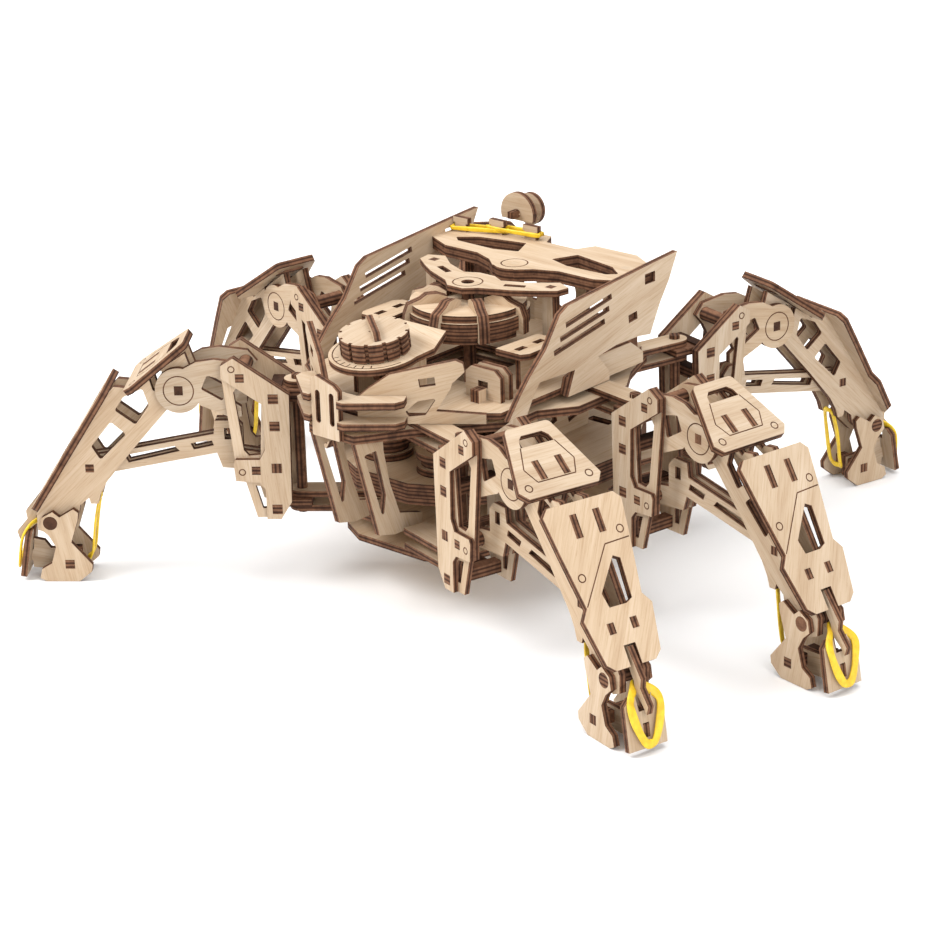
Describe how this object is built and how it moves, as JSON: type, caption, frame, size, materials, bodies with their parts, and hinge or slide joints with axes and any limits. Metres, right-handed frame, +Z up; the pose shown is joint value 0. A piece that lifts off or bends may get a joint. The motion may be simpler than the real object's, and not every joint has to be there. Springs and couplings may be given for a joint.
{
  "type": "hexapod spider robot",
  "caption": "Six-legged walking spider robot of laser-cut plywood with jointed armoured legs, a wind-up drum on top and rubber bands at the feet.",
  "frame": {"origin": "centre of the bounding box in plan, on the floor plane under the feet", "axes": "+X to the robot's left-right span, nose toward -Y, +Z up"},
  "size_m": [0.3916, 0.3278, 0.138],
  "materials": {
    "birch_plywood": "matte",
    "yellow_rubber": "satin"
  },
  "bodies": {
    "chassis": {"deck_bottom": "birch_plywood", "deck_lower": "birch_plywood", "deck_upper": "birch_plywood", "deck_top": "birch_plywood", "hull_walls": "birch_plywood", "hip_arms": "birch_plywood", "hip_pins": "birch_plywood", "nose_panels": "birch_plywood", "nose_bars": "birch_plywood", "wing_left": "birch_plywood", "wing_right": "birch_plywood", "drum_bridge": "birch_plywood", "rear_bridge": "birch_plywood", "rear_band": "yellow_rubber", "dial_plate": "birch_plywood"},
    "drum": {"winding_drum": "birch_plywood"},
    "knob": {"speed_knob": "birch_plywood"},
    "crank": {"rear_crank": "birch_plywood"},
    "fl_hip": {"fl_bracket": "birch_plywood"},
    "fl_thigh": {"fl_femur": "birch_plywood"},
    "fl_calf": {"fl_shin": "birch_plywood", "fl_armour": "birch_plywood"},
    "fl_rod": {"fl_link": "birch_plywood"},
    "fl_toe": {"fl_foot": "birch_plywood", "fl_bands": "yellow_rubber"},
    "fr_hip": {"fr_bracket": "birch_plywood"},
    "fr_thigh": {"fr_femur": "birch_plywood"},
    "fr_calf": {"fr_shin": "birch_plywood", "fr_armour": "birch_plywood"},
    "fr_rod": {"fr_link": "birch_plywood"},
    "fr_toe": {"fr_foot": "birch_plywood", "fr_bands": "yellow_rubber"},
    "ml_hip": {"ml_bracket": "birch_plywood"},
    "ml_thigh": {"ml_femur": "birch_plywood"},
    "ml_calf": {"ml_shin": "birch_plywood", "ml_armour": "birch_plywood"},
    "ml_rod": {"ml_link": "birch_plywood"},
    "ml_toe": {"ml_foot": "birch_plywood", "ml_bands": "yellow_rubber"},
    "mr_hip": {"mr_bracket": "birch_plywood"},
    "mr_thigh": {"mr_femur": "birch_plywood"},
    "mr_calf": {"mr_shin": "birch_plywood", "mr_armour": "birch_plywood"},
    "mr_rod": {"mr_link": "birch_plywood"},
    "mr_toe": {"mr_foot": "birch_plywood", "mr_bands": "yellow_rubber"},
    "rl_hip": {"rl_bracket": "birch_plywood"},
    "rl_thigh": {"rl_femur": "birch_plywood"},
    "rl_calf": {"rl_shin": "birch_plywood", "rl_armour": "birch_plywood"},
    "rl_rod": {"rl_link": "birch_plywood"},
    "rl_toe": {"rl_foot": "birch_plywood", "rl_bands": "yellow_rubber"},
    "rr_hip": {"rr_bracket": "birch_plywood"},
    "rr_thigh": {"rr_femur": "birch_plywood"},
    "rr_calf": {"rr_shin": "birch_plywood", "rr_armour": "birch_plywood"},
    "rr_rod": {"rr_link": "birch_plywood"},
    "rr_toe": {"rr_foot": "birch_plywood", "rr_bands": "yellow_rubber"}
  },
  "joints": [
    {"name": "fl_swing", "type": "hinge", "parent": "chassis", "child": "fl_hip", "pos_m": [-0.04736, -0.08407, 0.06], "axis": [0, 0, 1], "range_deg": [-8, 8]},
    {"name": "fl_lift", "type": "hinge", "parent": "fl_hip", "child": "fl_thigh", "pos_m": [-0.06424, -0.09722, 0.0908], "axis": [-0.6143, 0.7891, 0], "range_deg": [-12, 12]},
    {"name": "fl_knee", "type": "hinge", "parent": "fl_thigh", "child": "fl_calf", "pos_m": [-0.08468, -0.11313, 0.084], "axis": [-0.6143, 0.7891, 0], "range_deg": [-15.2, 15.2]},
    {"name": "fl_link_pivot", "type": "hinge", "parent": "fl_hip", "child": "fl_rod", "pos_m": [-0.06053, -0.09433, 0.0509], "axis": [-0.6143, 0.7891, 0], "range_deg": [-5, 5]},
    {"name": "fl_ankle", "type": "hinge", "parent": "fl_calf", "child": "fl_toe", "pos_m": [-0.12989, -0.14832, 0.026], "axis": [-0.6143, 0.7891, 0], "range_deg": [-5, 5], "stiffness_Nm_per_rad": 0.03, "deforming": ["fl_bands"]},
    {"name": "fr_swing", "type": "hinge", "parent": "chassis", "child": "fr_hip", "pos_m": [0.0521, -0.09541, 0.06], "axis": [0, 0, 1], "range_deg": [-8, 8]},
    {"name": "fr_lift", "type": "hinge", "parent": "fr_hip", "child": "fr_thigh", "pos_m": [0.07278, -0.10095, 0.0908], "axis": [-0.2588, -0.9659, 0], "range_deg": [-12, 12]},
    {"name": "fr_knee", "type": "hinge", "parent": "fr_thigh", "child": "fr_calf", "pos_m": [0.09779, -0.10766, 0.084], "axis": [-0.2588, -0.9659, 0], "range_deg": [-15.2, 15.2]},
    {"name": "fr_link_pivot", "type": "hinge", "parent": "fr_hip", "child": "fr_rod", "pos_m": [0.06824, -0.09974, 0.0509], "axis": [-0.2588, -0.9659, 0], "range_deg": [-5, 5]},
    {"name": "fr_ankle", "type": "hinge", "parent": "fr_calf", "child": "fr_toe", "pos_m": [0.15314, -0.12249, 0.026], "axis": [-0.2588, -0.9659, 0], "range_deg": [-5, 5], "stiffness_Nm_per_rad": 0.03, "deforming": ["fr_bands"]},
    {"name": "ml_swing", "type": "hinge", "parent": "chassis", "child": "ml_hip", "pos_m": [-0.07679, -0.01737, 0.06], "axis": [0, 0, 1], "range_deg": [-8, 8]},
    {"name": "ml_lift", "type": "hinge", "parent": "ml_hip", "child": "ml_thigh", "pos_m": [-0.09786, -0.01366, 0.0908], "axis": [0.1736, 0.9848, 0], "range_deg": [-12, 12]},
    {"name": "ml_knee", "type": "hinge", "parent": "ml_thigh", "child": "ml_calf", "pos_m": [-0.12337, -0.00916, 0.084], "axis": [0.1736, 0.9848, 0], "range_deg": [-15.2, 15.2]},
    {"name": "ml_link_pivot", "type": "hinge", "parent": "ml_hip", "child": "ml_rod", "pos_m": [-0.09324, -0.01447, 0.0509], "axis": [0.1736, 0.9848, 0], "range_deg": [-5, 5]},
    {"name": "ml_ankle", "type": "hinge", "parent": "ml_calf", "child": "ml_toe", "pos_m": [-0.1798, 0.00079, 0.026], "axis": [0.1736, 0.9848, 0], "range_deg": [-5, 5], "stiffness_Nm_per_rad": 0.03, "deforming": ["ml_bands"]},
    {"name": "mr_swing", "type": "hinge", "parent": "chassis", "child": "mr_hip", "pos_m": [0.07697, -0.01953, 0.06], "axis": [0, 0, 1], "range_deg": [-8, 8]},
    {"name": "mr_lift", "type": "hinge", "parent": "mr_hip", "child": "mr_thigh", "pos_m": [0.09801, -0.02343, 0.0908], "axis": [-0.1822, -0.9833, 0], "range_deg": [-12, 12]},
    {"name": "mr_knee", "type": "hinge", "parent": "mr_thigh", "child": "mr_calf", "pos_m": [0.12347, -0.02815, 0.084], "axis": [-0.1822, -0.9833, 0], "range_deg": [-15.2, 15.2]},
    {"name": "mr_link_pivot", "type": "hinge", "parent": "mr_hip", "child": "mr_rod", "pos_m": [0.09339, -0.02257, 0.0509], "axis": [-0.1822, -0.9833, 0], "range_deg": [-5, 5]},
    {"name": "mr_ankle", "type": "hinge", "parent": "mr_calf", "child": "mr_toe", "pos_m": [0.17981, -0.03859, 0.026], "axis": [-0.1822, -0.9833, 0], "range_deg": [-5, 5], "stiffness_Nm_per_rad": 0.03, "deforming": ["mr_bands"]},
    {"name": "rl_swing", "type": "hinge", "parent": "chassis", "child": "rl_hip", "pos_m": [-0.05931, 0.05057, 0.06], "axis": [0, 0, 1], "range_deg": [-8, 8]},
    {"name": "rl_lift", "type": "hinge", "parent": "rl_hip", "child": "rl_thigh", "pos_m": [-0.07363, 0.06647, 0.0908], "axis": [0.7431, 0.6691, 0], "range_deg": [-12, 12]},
    {"name": "rl_knee", "type": "hinge", "parent": "rl_thigh", "child": "rl_calf", "pos_m": [-0.09096, 0.08572, 0.084], "axis": [0.7431, 0.6691, 0], "range_deg": [-15.2, 15.2]},
    {"name": "rl_link_pivot", "type": "hinge", "parent": "rl_hip", "child": "rl_rod", "pos_m": [-0.07049, 0.06298, 0.0509], "axis": [0.7431, 0.6691, 0], "range_deg": [-5, 5]},
    {"name": "rl_ankle", "type": "hinge", "parent": "rl_calf", "child": "rl_toe", "pos_m": [-0.12931, 0.1283, 0.026], "axis": [0.7431, 0.6691, 0], "range_deg": [-5, 5], "stiffness_Nm_per_rad": 0.03, "deforming": ["rl_bands"]},
    {"name": "rr_swing", "type": "hinge", "parent": "chassis", "child": "rr_hip", "pos_m": [0.04526, 0.04679, 0.06], "axis": [0, 0, 1], "range_deg": [-8, 8]},
    {"name": "rr_lift", "type": "hinge", "parent": "rr_hip", "child": "rr_thigh", "pos_m": [0.0508, 0.06746, 0.0908], "axis": [0.9659, -0.2588, 0], "range_deg": [-12, 12]},
    {"name": "rr_knee", "type": "hinge", "parent": "rr_thigh", "child": "rr_calf", "pos_m": [0.0575, 0.09248, 0.084], "axis": [0.9659, -0.2588, 0], "range_deg": [-15.2, 15.2]},
    {"name": "rr_link_pivot", "type": "hinge", "parent": "rr_hip", "child": "rr_rod", "pos_m": [0.04958, 0.06292, 0.0509], "axis": [0.9659, -0.2588, 0], "range_deg": [-5, 5]},
    {"name": "rr_ankle", "type": "hinge", "parent": "rr_calf", "child": "rr_toe", "pos_m": [0.07233, 0.14782, 0.026], "axis": [0.9659, -0.2588, 0], "range_deg": [-5, 5], "stiffness_Nm_per_rad": 0.03, "deforming": ["rr_bands"]},
    {"name": "drum_wind", "type": "hinge", "parent": "chassis", "child": "drum", "pos_m": [0.00133, -0.03248, 0.11], "axis": [0, 0, 1], "continuous": true},
    {"name": "speed_turn", "type": "hinge", "parent": "chassis", "child": "knob", "pos_m": [0.00133, -0.08748, 0.109], "axis": [0, -0.1219, 0.9925], "range_deg": [-60, 60]},
    {"name": "crank_turn", "type": "hinge", "parent": "chassis", "child": "crank", "pos_m": [-0.03267, 0.04152, 0.129], "axis": [0, -1, 0], "range_deg": [-90, 90]}
  ],
  "couplings": [
    {"joint": "fl_knee", "follows": "fl_lift", "ratio": -1.1837},
    {"joint": "fl_link_pivot", "follows": "fl_lift", "ratio": 0.26596},
    {"joint": "fr_swing", "follows": "fl_swing", "ratio": 1},
    {"joint": "fr_lift", "follows": "fl_lift", "ratio": -1},
    {"joint": "fr_knee", "follows": "fl_lift", "ratio": 1.1837},
    {"joint": "fr_link_pivot", "follows": "fl_lift", "ratio": -0.26596},
    {"joint": "ml_swing", "follows": "fl_swing", "ratio": -1},
    {"joint": "ml_lift", "follows": "fl_lift", "ratio": -1},
    {"joint": "ml_knee", "follows": "fl_lift", "ratio": 1.1837},
    {"joint": "ml_link_pivot", "follows": "fl_lift", "ratio": -0.26596},
    {"joint": "mr_swing", "follows": "fl_swing", "ratio": -1},
    {"joint": "mr_lift", "follows": "fl_lift", "ratio": 1},
    {"joint": "mr_knee", "follows": "fl_lift", "ratio": -1.1837},
    {"joint": "mr_link_pivot", "follows": "fl_lift", "ratio": 0.26596},
    {"joint": "rl_swing", "follows": "fl_swing", "ratio": 1},
    {"joint": "rl_lift", "follows": "fl_lift", "ratio": 1},
    {"joint": "rl_knee", "follows": "fl_lift", "ratio": -1.1837},
    {"joint": "rl_link_pivot", "follows": "fl_lift", "ratio": 0.26596},
    {"joint": "rr_swing", "follows": "fl_swing", "ratio": 1},
    {"joint": "rr_lift", "follows": "fl_lift", "ratio": -1},
    {"joint": "rr_knee", "follows": "fl_lift", "ratio": 1.1837},
    {"joint": "rr_link_pivot", "follows": "fl_lift", "ratio": -0.26596}
  ]
}
